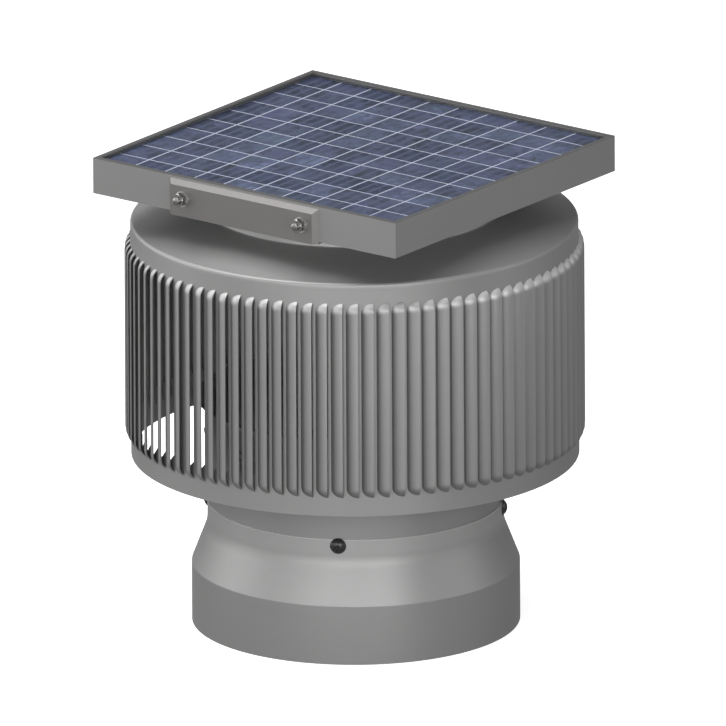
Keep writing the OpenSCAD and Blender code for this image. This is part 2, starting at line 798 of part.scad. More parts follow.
module commutator() {
    color(copper) difference() {
        translate([0, 0, commutator_z]) cylinder(r = commutator_r, h = commutator_h);
        translate([0, 0, commutator_z - cut]) cylinder(r = shaft_r, h = commutator_h + 2 * cut);
    }
}

// Turns a shape to a blade's pitch about its own radius
module pitched() {
    translate([0, 0, fan_z]) rotate([blade_pitch, 0, 0]) children();
}

module fan_spider() {
    color(steel) difference() {
        union() {
            translate([0, 0, fan_z - spider_t / 2]) cylinder(r = disc_r, h = spider_t);
            translate([0, 0, fan_z - boss_h / 2]) cylinder(r = boss_r, h = boss_h);
            around(blade_count, 0) pitched() translate([disc_r - 10, -blade_arm_w / 2, -spider_t / 2])
                cube([blade_arm_end - disc_r + 10, blade_arm_w, spider_t]);
        }
        translate([0, 0, fan_z - boss_h]) cylinder(r = shaft_r + hole_fit / 5, h = 2 * boss_h);
        translate([shaft_r - cut, 0, set_screw_z]) outwards()
            cylinder(d = set_screw_d + 2 * seat, h = boss_r);
        around(blade_count, 0) pitched() for (x = blade_rivets_x)
            translate([x, 0, -spider_t]) cylinder(r = blade_rivet_r + seat, h = 2 * spider_t);
    }
}

// Blade: a cambered sheet cut to a paddle outline, lying on its spider arm
module fan_blade(i) {
    sheet_z = spider_t / 2 + camber_r;
    color(blade_metal) rotate([0, 0, (i - 1) * blade_step]) difference() {
        pitched() intersection() {
            translate([0, 0, sheet_z]) rotate([0, 90, 0]) difference() {
                cylinder(r = camber_r, h = fan_r + cut, $fn = 360);
                translate([0, 0, -cut])
                    cylinder(r = camber_r - blade_t, h = fan_r + 3 * cut, $fn = 360);
            }
            linear_extrude(height = fan_r) intersection() {
                circle(r = fan_r);
                union() {
                    translate([blade_body_x, 0]) circle(r = blade_body_r);
                    polygon([
                        [blade_root, -blade_root_w / 2], [blade_body_x, -blade_body_r],
                        [blade_body_x, blade_body_r], [blade_root, blade_root_w / 2]
                    ]);
                }
            }
        }
        pitched() for (x = blade_rivets_x) translate([x, 0, 0])
            cylinder(r = blade_rivet_r + seat, h = spider_t / 2 + 3 * blade_t);
    }
}

module blade_rivets() {
    top = spider_t / 2 + blade_t + seat;
    bottom = -spider_t / 2;
    color(steel) around(blade_count, 0) pitched() for (x = blade_rivets_x) translate([x, 0, 0]) {
        translate([0, 0, bottom - blade_rivet_head_h / 2])
            cylinder(r = blade_rivet_r, h = top - bottom + blade_rivet_head_h);
        translate([0, 0, top]) dome(blade_rivet_head_r, blade_rivet_head_h);
        translate([0, 0, bottom]) mirror([0, 0, 1]) dome(blade_rivet_head_r, blade_rivet_head_h);
    }
}

module hub_set_screw() {
    color(black) translate([shaft_r + seat, 0, set_screw_z]) outwards() difference() {
        cylinder(d = set_screw_d, h = boss_r - shaft_r - 1);
        translate([0, 0, boss_r - shaft_r - 4]) hexagon(set_screw_d * 0.28, 4);
    }
}

// Section of a frame rail: x runs in from the outer face, y is the height above the panel's underside
module rail_section() {
    square([rail_wall, panel_h]);
    translate([0, panel_h - rail_wall]) square([lip_w, rail_wall]);
    translate([0, shelf_top - shelf_t - panel_z]) square([shelf_w, shelf_t]);
    square([rail_flange, rail_wall]);
}

// Rail of length l whose outer face lies at distance half from the centre, on the -Y side
module rail(l, half, drilled) {
    color(frame_grey) translate([0, 0, panel_z]) difference() {
        intersection() {
            translate([-l / 2, -half, 0]) rotate([90, 0, 90]) linear_extrude(height = l) rail_section();
            translate([0, -half, -cut]) linear_extrude(height = panel_h + 2 * cut) polygon([
                [-l / 2, 0], [l / 2, 0], [l / 2 - mitre, mitre], [-l / 2 + mitre, mitre]
            ]);
        }
        if (drilled) for (side = [-1, 1])
            translate([side * side_bolt_spacing / 2, -half - cut, side_bolt_h])
                rotate([-90, 0, 0]) cylinder(r = side_bolt_r + hole_fit, h = rail_wall + 2 * cut);
    }
}
module panel_rail_front() { rail(panel_x, panel_y / 2, true); }
module panel_rail_rear() { rotate([0, 0, 180]) rail(panel_x, panel_y / 2, true); }
module panel_rail_left() { rotate([0, 0, -90]) rail(panel_y, panel_x / 2, false); }
module panel_rail_right() { rotate([0, 0, 90]) rail(panel_y, panel_x / 2, false); }

// Stiffening angles in the corners of the frame, on its bottom flange
module corner_angles() {
    color(steel) for (sx = [0, 1], sy = [0, 1]) mirror([sx, 0, 0]) mirror([0, sy, 0])
        translate([rail_wall - panel_x / 2, rail_wall - panel_y / 2, panel_z + rail_wall]) {
            cube([corner_leg, corner_t, corner_h]);
            cube([corner_t, corner_leg, corner_h]);
        }
}

module panel_glass() {
    color([0.6, 0.64, 0.7, 0.5]) translate([-glass_x, -glass_y, cell_top])
        cube([2 * glass_x, 2 * glass_y, glass_t]);
}

// Cells lie on an even grid, and the outer ones are trimmed to the laminate's edge
module solar_cells() {
    limit_x = glass_x - cell_edge;
    limit_y = glass_y - cell_edge;
    half_gap = cell_gap / 2;
    function line_at(i) = (i - cell_count / 2) * cell_pitch;
    color(cell_blue) for (i = [0:cell_count - 1], j = [0:cell_count - 1]) {
        x0 = max(line_at(i) + cell_shift_x + half_gap, -limit_x);
        x1 = min(line_at(i + 1) + cell_shift_x - half_gap, limit_x);
        y0 = max(line_at(j) + cell_shift_y + half_gap, -limit_y);
        y1 = min(line_at(j + 1) + cell_shift_y - half_gap, limit_y);
        translate([x0, y0, backsheet_top]) cube([x1 - x0, y1 - y0, cell_t]);
    }
}

module panel_backsheet() {
    color("white") translate([-glass_x, -glass_y, backsheet_z])
        cube([2 * glass_x, 2 * glass_y, backsheet_t]);
}

module junction_box() {
    roof_t = 3;
    color(black) difference() {
        translate([-junction_size / 2, -junction_y / 2, junction_z])
            cube([junction_size, junction_y, junction_h]);
        translate([junction_wall - junction_size / 2, junction_wall - junction_y / 2, junction_z - cut])
            cube([junction_size - 2 * junction_wall, junction_y - 2 * junction_wall,
                junction_h - roof_t + cut]);
        translate([0, junction_y / 2 + cut, junction_z + junction_h / 2]) rotate([90, 0, 0])
            cylinder(r = gland_r - 2 + seat, h = junction_wall + 2 * cut);
    }
}

module junction_lid() {
    fit = 0.2;
    inset = junction_wall + fit;
    color(black) {
        translate([-junction_size / 2, -junction_y / 2, junction_z - lid_t])
            cube([junction_size, junction_y, lid_t]);
        translate([inset - junction_size / 2, inset - junction_y / 2, junction_z])
            cube([junction_size - 2 * inset, junction_y - 2 * inset, lid_lip]);
    }
}

module cable_gland() {
    body = 6;
    cap = 8;
    color(black) translate([0, junction_y / 2 - junction_wall, junction_z + junction_h / 2])
        rotate([-90, 0, 0]) difference() {
            union() {
                cylinder(r = gland_r - 2, h = junction_wall + cut);
                translate([0, 0, junction_wall]) hexagon(gland_r, body);
                translate([0, 0, junction_wall + body]) cylinder(r = gland_r - 1, h = cap);
            }
            translate([0, 0, -cut]) cylinder(r = gland_bore_r, h = junction_wall + body + cap + 2 * cut);
        }
}

// Bracket: a shallow pressed tray against the panel's side, with a flange turned in onto the hub
module panel_bracket() {
    diagonal = bracket_t * sqrt(2);
    depth = bracket_depth;
    skin = depth - bracket_t;
    half = bracket_l / 2;
    top = bracket_top_z - flange_z;
    rim = half - diagonal;
    color(bracket_grey) translate([0, -panel_y / 2, flange_z]) mirror([0, 1, 0]) difference() {
        intersection() {
            union() {
                translate([-half, 0, 0]) rotate([90, 0, 90]) linear_extrude(height = bracket_l)
                    polygon([[0, 0], [depth, 0], [depth, top - depth], [0, top]]);
                translate([-half, -flange_w, 0]) cube([bracket_l, flange_w, bracket_t]);
            }
            linear_extrude(height = top) polygon([
                [-half, -flange_w], [half, -flange_w], [half, 0], [half - depth, depth],
                [depth - half, depth], [-half, 0]
            ]);
        }
        intersection() {
            translate([-half, 0, 0]) rotate([90, 0, 90]) linear_extrude(height = bracket_l) polygon([
                [-cut, bracket_t], [skin, bracket_t], [skin, top - diagonal - skin],
                [-cut, top - diagonal + cut]
            ]);
            linear_extrude(height = top) polygon([
                [-rim - cut, -cut], [rim + cut, -cut], [rim - skin, skin], [skin - rim, skin]
            ]);
        }
        for (side = [-1, 1]) {
            translate([side * side_bolt_spacing / 2, skin - cut, side_bolt_z - flange_z])
                rotate([-90, 0, 0]) cylinder(r = side_bolt_r + hole_fit, h = bracket_t + 2 * cut);
            translate([side * flange_bolt_spacing / 2, flange_bolt_y - panel_y / 2, -cut])
                cylinder(r = flange_bolt_r + hole_fit, h = bracket_t + 2 * cut);
        }
    }
}
module front_bracket() { panel_bracket(); }
module rear_bracket() { rotate([0, 0, 180]) panel_bracket(); }

// Places a shape at the four side bolts, with its +Z pointing out of the panel frame's face
module at_side_bolts() {
    at_sides() for (side = [-1, 1])
        translate([side * side_bolt_spacing / 2, -panel_y / 2, side_bolt_z])
            rotate([90, 0, 0]) children();
}

nut_out = bracket_depth + side_washer_t;
module side_bolts() {
    head_h = side_bolt_d * 0.65;
    color(steel) at_side_bolts() {
        translate([0, 0, -rail_wall - head_h]) hexagon(side_nut_r, head_h);
        translate([0, 0, -rail_wall]) cylinder(r = side_bolt_r,
            h = rail_wall + nut_out + side_nut_h + side_bolt_proud);
    }
}

module side_washers() {
    color(steel) at_side_bolts() translate([0, 0, bracket_depth])
        tube(side_washer_r, side_bolt_r + hole_fit, side_washer_t);
}

module side_nuts() {
    color(steel) at_side_bolts() translate([0, 0, nut_out]) difference() {
        hexagon(side_nut_r, side_nut_h);
        translate([0, 0, -cut]) cylinder(r = side_bolt_r + seat, h = side_nut_h + 2 * cut);
    }
}

// Spacer rings that keep the pressed face from caving in under the side bolts
module side_spacers() {
    color(steel) at_side_bolts()
        tube(side_bolt_r * 1.8, side_bolt_r + hole_fit, bracket_depth - bracket_t);
}

module flange_bolts() {
    head_h = flange_bolt_d * 0.65;
    shank = bracket_t + cap_wall + flange_washer_t + flange_nut_h + 2;
    color(steel) at_flange_bolts() {
        translate([0, 0, panel_z]) hexagon(flange_nut_r, head_h);
        translate([0, 0, panel_z - shank]) cylinder(r = flange_bolt_r, h = shank);
    }
}

module flange_washers() {
    color(steel) at_flange_bolts() translate([0, 0, hub_under - flange_washer_t])
        tube(flange_bolt_d, flange_bolt_r + hole_fit, flange_washer_t);
}

module flange_nuts() {
    color(steel) at_flange_bolts() translate([0, 0, hub_under - flange_washer_t - flange_nut_h])
        difference() {
            hexagon(flange_nut_r, flange_nut_h);
            translate([0, 0, -cut]) cylinder(r = flange_bolt_r + seat, h = flange_nut_h + 2 * cut);
        }
}

pipe_collar();
collar_screws();
collar_nuts();
throat_tube();
louvered_drum();
top_cap();
wire_grommet();
for (i = [1:stay_count]) drum_stay(i);
stay_rivets();
motor_bracket();
bracket_arm_bolts();
bracket_arm_nuts();
motor_screws();
motor_can();
motor_end_bell();
motor_magnets();
brush_card();
carbon_brushes();
lower_bearing();
upper_bearing();
motor_shaft();
armature();
commutator();
fan_spider();
for (i = [1:blade_count]) fan_blade(i);
blade_rivets();
hub_set_screw();
panel_rail_front();
panel_rail_rear();
panel_rail_left();
panel_rail_right();
corner_angles();
panel_glass();
solar_cells();
panel_backsheet();
junction_box();
junction_lid();
cable_gland();
front_bracket();
rear_bracket();
side_bolts();
side_washers();
side_nuts();
side_spacers();
flange_bolts();
flange_washers();
flange_nuts();
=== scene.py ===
# Pipe cap ventilator with a louvred drum and a solar panel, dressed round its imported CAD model.
# All lengths are metres, and mm turns the sizes that are easier to read in millimetres.
import math

import bpy
from mathutils import Matrix, Vector


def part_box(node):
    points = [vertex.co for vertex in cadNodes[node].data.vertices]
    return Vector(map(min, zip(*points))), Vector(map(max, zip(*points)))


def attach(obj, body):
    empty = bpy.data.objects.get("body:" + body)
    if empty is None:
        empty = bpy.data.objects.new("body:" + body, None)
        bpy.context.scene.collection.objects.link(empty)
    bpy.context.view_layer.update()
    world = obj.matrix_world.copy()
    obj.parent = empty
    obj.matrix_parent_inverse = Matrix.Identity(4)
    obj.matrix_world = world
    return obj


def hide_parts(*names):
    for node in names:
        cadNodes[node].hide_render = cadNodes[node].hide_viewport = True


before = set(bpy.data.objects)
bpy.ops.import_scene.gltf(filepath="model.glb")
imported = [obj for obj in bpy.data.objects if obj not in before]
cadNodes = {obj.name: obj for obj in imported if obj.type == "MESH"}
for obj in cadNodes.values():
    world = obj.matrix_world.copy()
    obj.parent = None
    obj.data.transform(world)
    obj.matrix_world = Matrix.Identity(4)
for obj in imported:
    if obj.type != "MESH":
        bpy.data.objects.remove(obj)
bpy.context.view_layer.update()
mm = 0.001
touching = 0.01 * mm  # points nearer than this are one point
up = Vector((0, 0, 1))


def deselectAll():
    if bpy.context.object and bpy.context.object.mode != "OBJECT":
        bpy.ops.object.mode_set(mode="OBJECT")
    bpy.ops.object.select_all(action="DESELECT")


def activate(piece):
    deselectAll()
    piece.select_set(True)
    bpy.context.view_layer.objects.active = piece


def editAll(piece):
    activate(piece)
    bpy.ops.object.mode_set(mode="EDIT")
    bpy.ops.mesh.select_all(action="SELECT")


def pick(piece, test, kind="VERT"):
    # selects vertices by their place, edges by both ends or faces by their centre, and stays in edit mode
    bpy.ops.object.mode_set(mode="EDIT")
    bpy.ops.mesh.select_mode(type=kind)
    bpy.ops.mesh.select_all(action="DESELECT")
    bpy.ops.object.mode_set(mode="OBJECT")
    mesh = piece.data
    if kind == "VERT":
        for vertex in mesh.vertices:
            vertex.select = test(piece.matrix_world @ vertex.co)
    elif kind == "EDGE":
        for edge in mesh.edges:
            ends = [piece.matrix_world @ mesh.vertices[i].co for i in edge.vertices]
            edge.select = test(*ends)
    else:
        for face in mesh.polygons:
            face.select = test(piece.matrix_world @ face.center)
    bpy.ops.object.mode_set(mode="EDIT")


def settle(piece):
    # the place goes into the mesh, and the object stands unturned at the origin
    activate(piece)
    bpy.ops.object.transform_apply(location=True, rotation=True, scale=True)


def applyModifier(piece, kind, **settings):
    activate(piece)
    modifier = piece.modifiers.new(kind.title(), kind)
    for key, value in settings.items():
        setattr(modifier, key, value)
    bpy.ops.object.modifier_apply(modifier=modifier.name)


def smooth(piece, degrees):
    activate(piece)
    bpy.ops.object.shade_smooth_by_angle(angle=math.radians(degrees))


def weld(piece, distance=0.004 * mm):
    editAll(piece)
    bpy.ops.mesh.remove_doubles(threshold=distance)
    bpy.ops.object.mode_set(mode="OBJECT")


def flipNormals(piece):
    editAll(piece)
    bpy.ops.mesh.flip_normals()
    bpy.ops.object.mode_set(mode="OBJECT")


def copyOf(piece, matrix):
    twin = piece.copy()
    twin.data = piece.data.copy()
    twin.data.transform(matrix)
    bpy.context.collection.objects.link(twin)
    return twin


def joined(name, parts):
    deselectAll()
    for part in parts:
        part.select_set(True)
    bpy.context.view_layer.objects.active = parts[0]
    if len(parts) > 1:
        bpy.ops.object.join()
    whole = bpy.context.view_layer.objects.active
    whole.name = name
    whole.data.name = name
    return whole


def turned(degrees):
    return Matrix.Rotation(math.radians(degrees), 4, "Z")


def aroundAxis(name, piece, angles):
    # copies a piece round the ventilator's axis and joins the copies
    copies = [copyOf(piece, turned(angle)) for angle in angles]
    bpy.data.objects.remove(piece)
    return joined(name, copies)


def place(piece, material, slotName, *nodes, body="housing"):
    piece.data.materials.clear()
    piece.data.materials.append(material)
    if nodes:
        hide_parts(*nodes)
    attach(piece, body)
    return piece


# Materials: every finish is a mix of cloudy tone, fine grain and a slight bump
def shaderNode(tree, kind, inputs=None, **settings):
    node = tree.nodes.new(kind)
    for key, value in settings.items():
        setattr(node, key, value)
    for key, value in (inputs or {}).items():
        if isinstance(value, bpy.types.NodeSocket):
            tree.links.new(value, node.inputs[key])
        else:
            node.inputs[key].default_value = value
    return node


def objectCoordinates(tree, scale=(1, 1, 1), shift=(0, 0, 0)):
    source = shaderNode(tree, "ShaderNodeTexCoord")
    return shaderNode(tree, "ShaderNodeMapping", {
        "Vector": source.outputs["Object"], "Scale": scale, "Location": shift,
    }).outputs["Vector"]


def toneRamp(tree, factor, stops):
    ramp = shaderNode(tree, "ShaderNodeValToRGB", {"Fac": factor})
    elements = ramp.color_ramp.elements
    while len(elements) < len(stops):
        elements.new(0.5)
    for element, (position, tone) in zip(elements, stops):
        element.position = position
        element.color = (*tone, 1)
    return ramp.outputs["Color"]


def rescale(tree, value, low, high, fromLow=0.0, fromHigh=1.0):
    return shaderNode(tree, "ShaderNodeMapRange", {
        "Value": value, "From Min": fromLow, "From Max": fromHigh, "To Min": low, "To Max": high,
    }).outputs["Result"]


def shaded(tone, amount):
    return tuple(max(0.0, c * amount) for c in tone)


def multiplied(tree, colour, gain, share=1.0):
    return shaderNode(tree, "ShaderNodeMix", {
        0: share, 6: colour, 7: gain,
    }, data_type="RGBA", blend_type="MULTIPLY").outputs[2]


def newMaterial(name):
    material = bpy.data.materials.new(name)
    material.use_nodes = True
    return material, material.node_tree, material.node_tree.nodes["Principled BSDF"]


def bumped(tree, shader, height, strength, depth):
    bump = shaderNode(tree, "ShaderNodeBump", {
        "Height": height, "Strength": strength, "Distance": depth,
    })
    tree.links.new(bump.outputs["Normal"], shader.inputs["Normal"])


# the noise behind all finishes; at these stops the louvres' painted shade and painted highlight begin, are
# full, thin and end
pattern = {"cloudDetail": 5.0, "cloudRoughness": 0.6, "cloudStops": (0.3, 0.52, 0.74),
           "grainDetail": 3.0, "grainLow": 0.25, "grainHigh": 0.75, "grainDepth": 0.2 * mm,
           "paintedShadingStops": (0.05, 0.13, 0.5, 0.97)}


def louvrePaintedShading(tree, colour, height, roots):
    # painted shade in the roots of the louvres and a painted highlight on their upper ends, by the
    # distance from the axis
    outward = shaderNode(tree, "ShaderNodeVectorMath", {
        0: objectCoordinates(tree, (1, 1, 0)),
    }, operation="LENGTH").outputs["Value"]
    depth = rescale(tree, outward, 0.0, 1.0, roots["radius"], roots["radius"] + roots["depth"])
    gains = (1, roots["gain"], roots["gain"], 1)
    paintedShading = toneRamp(tree, depth, [(stop, (gain,) * 3) for stop, gain in zip(pattern["paintedShadingStops"], gains)])
    above = rescale(tree, height, 0.0, 1.0, roots["low"], roots["low"] + roots["fade"])
    below = rescale(tree, height, 1.0, 0.0, roots["high"] - roots["fade"], roots["high"])
    share = shaderNode(tree, "ShaderNodeMath", {0: above, 1: below}, operation="MULTIPLY").outputs[0]
    return multiplied(tree, colour, paintedShading, share)


def surface(name, tone, finish):
    # a finish may also hold steps of painted light and shade by height, and painted shade and highlight on
    # louvres
    material, tree, shader = newMaterial(name)
    shader.inputs["Metallic"].default_value = finish["metal"]
    cloud = shaderNode(tree, "ShaderNodeTexNoise", {
        "Vector": objectCoordinates(tree), "Scale": finish["cloud"],
        "Detail": pattern["cloudDetail"], "Roughness": pattern["cloudRoughness"],
    })
    gains = (1 - finish["cloudSpread"], 1, 1 + finish["cloudSpread"])
    colour = toneRamp(tree, cloud.outputs["Fac"], [
        (stop, shaded(tone, gain)) for stop, gain in zip(pattern["cloudStops"], gains)
    ])
    height = shaderNode(tree, "ShaderNodeSeparateXYZ", {"Vector": objectCoordinates(tree)}).outputs["Z"]
    for start, end, gain in finish.get("steps", ()):
        # painted light and shade by height: the gain comes in between two heights and stays above them
        colour = multiplied(tree, colour, rescale(tree, height, 1.0, gain, start, end))
    # painted shade in the louvres' roots and a painted highlight on their upper ends
    for roots in finish.get("roots", ()):
        colour = louvrePaintedShading(tree, colour, height, roots)
    tree.links.new(colour, shader.inputs["Base Color"])
    grain = shaderNode(tree, "ShaderNodeTexNoise", {
        "Vector": objectCoordinates(tree, finish["stretch"]), "Scale": finish["grain"],
        "Detail": pattern["grainDetail"],
    }).outputs["Fac"]
    smoothest = finish["rough"] - finish["roughSpread"]
    roughest = finish["rough"] + finish["roughSpread"]
    roughness = rescale(tree, grain, smoothest, roughest, pattern["grainLow"], pattern["grainHigh"])
    tree.links.new(roughness, shader.inputs["Roughness"])
    bumped(tree, shader, grain, finish["bump"], pattern["grainDepth"])
    return material


def grey(level, warmth=0.0):
    # linear grey from an sRGB level of 0 to 255, warmer for a positive warmth
    base = (level / 255) ** 2.2
    return (base * (1 + warmth), base, base * (1 - warmth))


coatFinish = {"metal": 0.6, "rough": 0.48, "roughSpread": 0.06, "cloud": 7.0, "cloudSpread": 0.035,
              "grain": 900.0, "stretch": (1, 1, 1), "bump": 0.08}
plateFinish = dict(coatFinish, rough=0.42, cloudSpread=0.05)
brushedFinish = {"metal": 0.85, "rough": 0.3, "roughSpread": 0.1, "cloud": 40.0, "cloudSpread": 0.08,
                 "grain": 700.0, "stretch": (1, 1, 0.06), "bump": 0.12}
mouldedFinish = {"metal": 0.0, "rough": 0.5, "roughSpread": 0.1, "cloud": 30.0, "cloudSpread": 0.15,
                 "grain": 1500.0, "stretch": (1, 1, 1), "bump": 0.25}

sheetGrey = grey(147, 0.004)
sheetMaterial = surface("greyCoatedSheet", sheetGrey, coatFinish)
# painted light: the cone, the neck and the neck's upper rim are each painted lighter than what is below
# them
collarPaintedLight = [(58 * mm, 63 * mm, 1.07), (98 * mm, 113 * mm, 1.25), (125.1 * mm, 125.4 * mm, 2.0)]
collarMaterial = surface("paintedLightCollar", sheetGrey, dict(coatFinish, steps=collarPaintedLight))
# painted shade in the louvres' roots and a painted highlight on their upper ends: the gain lies over the
# louvres' depth outwards from a radius, and fades in and out at two heights
louvreRootShade = {"gain": 0.68, "radius": 224.0 * mm, "depth": 6.3 * mm, "low": 192 * mm, "high": 391 * mm,
               "fade": 6 * mm}
louvreEndHighlight = dict(louvreRootShade, gain=1.7, low=385 * mm, high=402 * mm, fade=4 * mm)
drumMaterial = surface("louvredSheet", sheetGrey, dict(coatFinish, roots=[louvreRootShade, louvreEndHighlight]))
bracketMaterial = surface("warmGreyBracket", grey(116, 0.03), plateFinish)
mountPlateMaterial = surface("zincPlate", grey(150, 0.01), dict(
    coatFinish, metal=0.7, rough=0.4, cloud=60.0, cloudSpread=0.14))
# painted shade on the lip over the glass, which is darker than the rail's outer wall
lipPaintedShade = (491.2 * mm, 491.9 * mm, 0.48)
railMaterial = surface("anodisedRail", grey(124, 0.004), dict(
    coatFinish, metal=0.2, rough=0.42, grain=600.0, stretch=(1, 1, 0.15), steps=[lipPaintedShade]))
bladeMaterial = surface("millAluminium", grey(205, 0.0), dict(
    brushedFinish, rough=0.38, roughSpread=0.04, bump=0.03, stretch=(0.1, 1, 1)))
steelMaterial = surface("stainlessSteel", grey(200, 0.01), dict(brushedFinish, stretch=(1, 1, 1)))
nutMaterial = surface("zincNut", grey(150, 0.02), dict(
    brushedFinish, metal=1.0, rough=0.24, stretch=(1, 1, 1)))
blackScrewMaterial = surface("blackOxide", grey(62, 0.0), dict(
    brushedFinish, metal=0.5, rough=0.26, stretch=(1, 1, 1)))
motorMaterial = surface("motorEnamel", grey(70, 0.0), dict(coatFinish, metal=0.3, rough=0.35))
magnetMaterial = surface("sinteredMagnet", grey(74, 0.02), dict(mouldedFinish, metal=0.4, rough=0.6))
copperMaterial = surface("copperWinding", (0.62, 0.29, 0.14), dict(
    brushedFinish, metal=0.9, grain=500.0, stretch=(1, 1, 0.05), bump=0.4))
carbonMaterial = surface("pressedCarbon", grey(48, 0.0), dict(mouldedFinish, rough=0.7))
plasticMaterial = surface("blackMoulding", grey(44, 0.0), mouldedFinish)
rubberMaterial = surface("softRubber", grey(36, 0.0), dict(mouldedFinish, rough=0.75))
backsheetMaterial = surface("laminateBacksheet", (0.64, 0.68, 0.82), dict(
    mouldedFinish, rough=0.4, cloudSpread=0.04, bump=0.05))

# a bar is full within barCore of its width from its middle and gone at barFade of it,
# and a patch is patchShare crystals wide
cellLook = {"pitch": 36.5 * mm, "shift": -3 * mm, "shiftY": 3.5 * mm, "fields": 3,
            "bar": (0.085, 0.1, 0.165), "barWidth": 3.6 * mm, "barCore": 0.2, "barFade": 0.8,
            "barBump": 0.3, "barDepth": 0.05 * mm, "crystal": 9 * mm, "patchShare": 3.4,
            "blendLow": 0.2, "blendHigh": 1.8, "smoothest": 0.3, "roughest": 0.5, "gloss": 0.15}
# tones of the crystals, and gains on them from the darkest cell to the lightest
crystalTones = [
    (0.0, (0.026, 0.034, 0.053)), (0.35, (0.04, 0.05, 0.082)), (0.62, (0.053, 0.062, 0.12)),
    (0.85, (0.052, 0.073, 0.112)), (1.0, (0.077, 0.09, 0.16)),
]
cellGains = [
    (0.0, (0.84, 0.92, 0.96)), (0.3, (1.26, 1.24, 1.24)),
    (0.7, (1.6, 1.52, 1.56)), (1.0, (1.92, 2.04, 1.84)),
]


def crystalNumbers(tree, size):
    # three random numbers for every crystal of about this size
    crystals = shaderNode(tree, "ShaderNodeTexVoronoi", {
        "Vector": objectCoordinates(tree, (1, 1, 0)), "Scale": 1 / size, "Randomness": 1.0,
    })
    return shaderNode(tree, "ShaderNodeSeparateColor", {"Color": crystals.outputs["Color"]}).outputs


def cellTone(tree, crystal):
    # crystals in slate and violet, lighter and darker in patches, on cells that each have their own tone
    patch = crystalNumbers(tree, cellLook["patchShare"] * cellLook["crystal"])
    blend = shaderNode(tree, "ShaderNodeMath", {0: crystal[0], 1: patch[1]}, operation="ADD").outputs[0]
    blend = rescale(tree, blend, 0.0, 1.0, cellLook["blendLow"], cellLook["blendHigh"])
    corner = shaderNode(tree, "ShaderNodeVectorMath", {
        0: objectCoordinates(tree, shift=(-cellLook["shift"], -cellLook["shiftY"], 0)),
        1: (cellLook["pitch"], cellLook["pitch"], 1),
    }, operation="SNAP")
    chance = shaderNode(tree, "ShaderNodeTexWhiteNoise", {"Vector": corner.outputs["Vector"]})
    gain = toneRamp(tree, chance.outputs["Value"], cellGains)
    return multiplied(tree, toneRamp(tree, blend, crystalTones), gain)


def printedBars(tree):
    # two bars along Y on every cell: 1 on a bar and 0 beside it
    across = shaderNode(tree, "ShaderNodeSeparateXYZ", {"Vector": objectCoordinates(tree)}).outputs["X"]
    phase = shaderNode(tree, "ShaderNodeMath", {0: across, 1: cellLook["shift"]}, operation="SUBTRACT")
    spacing = cellLook["pitch"] / cellLook["fields"]
    nearest = shaderNode(tree, "ShaderNodeMath", {
        0: phase.outputs[0], 1: spacing / 2,
    }, operation="PINGPONG")
    core, fade = (cellLook["barWidth"] * cellLook[key] for key in ("barCore", "barFade"))
    return rescale(tree, nearest.outputs[0], 1.0, 0.0, core, fade)


def cellMaterial():
    # polycrystalline silicon with printed bars
    material, tree, shader = newMaterial("polycrystallineCell")
    crystal = crystalNumbers(tree, cellLook["crystal"])
    bar = printedBars(tree)
    barred = shaderNode(tree, "ShaderNodeMix", {
        0: bar, 6: cellTone(tree, crystal), 7: (*cellLook["bar"], 1),
    }, data_type="RGBA")
    tree.links.new(barred.outputs[2], shader.inputs["Base Color"])
    roughness = rescale(tree, crystal[2], cellLook["smoothest"], cellLook["roughest"])
    tree.links.new(roughness, shader.inputs["Roughness"])
    bumped(tree, shader, bar, cellLook["barBump"], cellLook["barDepth"])
    shader.inputs["Specular IOR Level"].default_value = cellLook["gloss"]
    return material


glassLook = {"alpha": 0.08, "tones": [(0.3, (0.05, 0.06, 0.08)), (0.7, (0.07, 0.08, 0.1))],
             "ripple": 350.0, "detail": 2.0, "smoothest": 0.16, "roughest": 0.26,
             "bump": 0.02, "depth": 0.1 * mm}


def glassMaterial():
    # clear tempered glass over the cells, with a faint rolled texture
    material, tree, shader = newMaterial("temperedGlass")
    shader.inputs["Alpha"].default_value = glassLook["alpha"]
    ripple = shaderNode(tree, "ShaderNodeTexNoise", {
        "Vector": objectCoordinates(tree), "Scale": glassLook["ripple"], "Detail": glassLook["detail"],
    }).outputs["Fac"]
    tree.links.new(toneRamp(tree, ripple, glassLook["tones"]), shader.inputs["Base Color"])
    roughness = rescale(tree, ripple, glassLook["smoothest"], glassLook["roughest"])
    tree.links.new(roughness, shader.inputs["Roughness"])
    bumped(tree, shader, ripple, glassLook["bump"], glassLook["depth"])
    return material


print("materials made")


def arcPoints(centreR, centreZ, radius, fromDegrees, toDegrees, count):
    points = []
    for i in range(count + 1):
        angle = math.radians(fromDegrees + (toDegrees - fromDegrees) * i / count)
        points.append((centreR + radius * math.cos(angle), centreZ + radius * math.sin(angle)))
    return points


spun = {"steps": 180, "crease": 28}


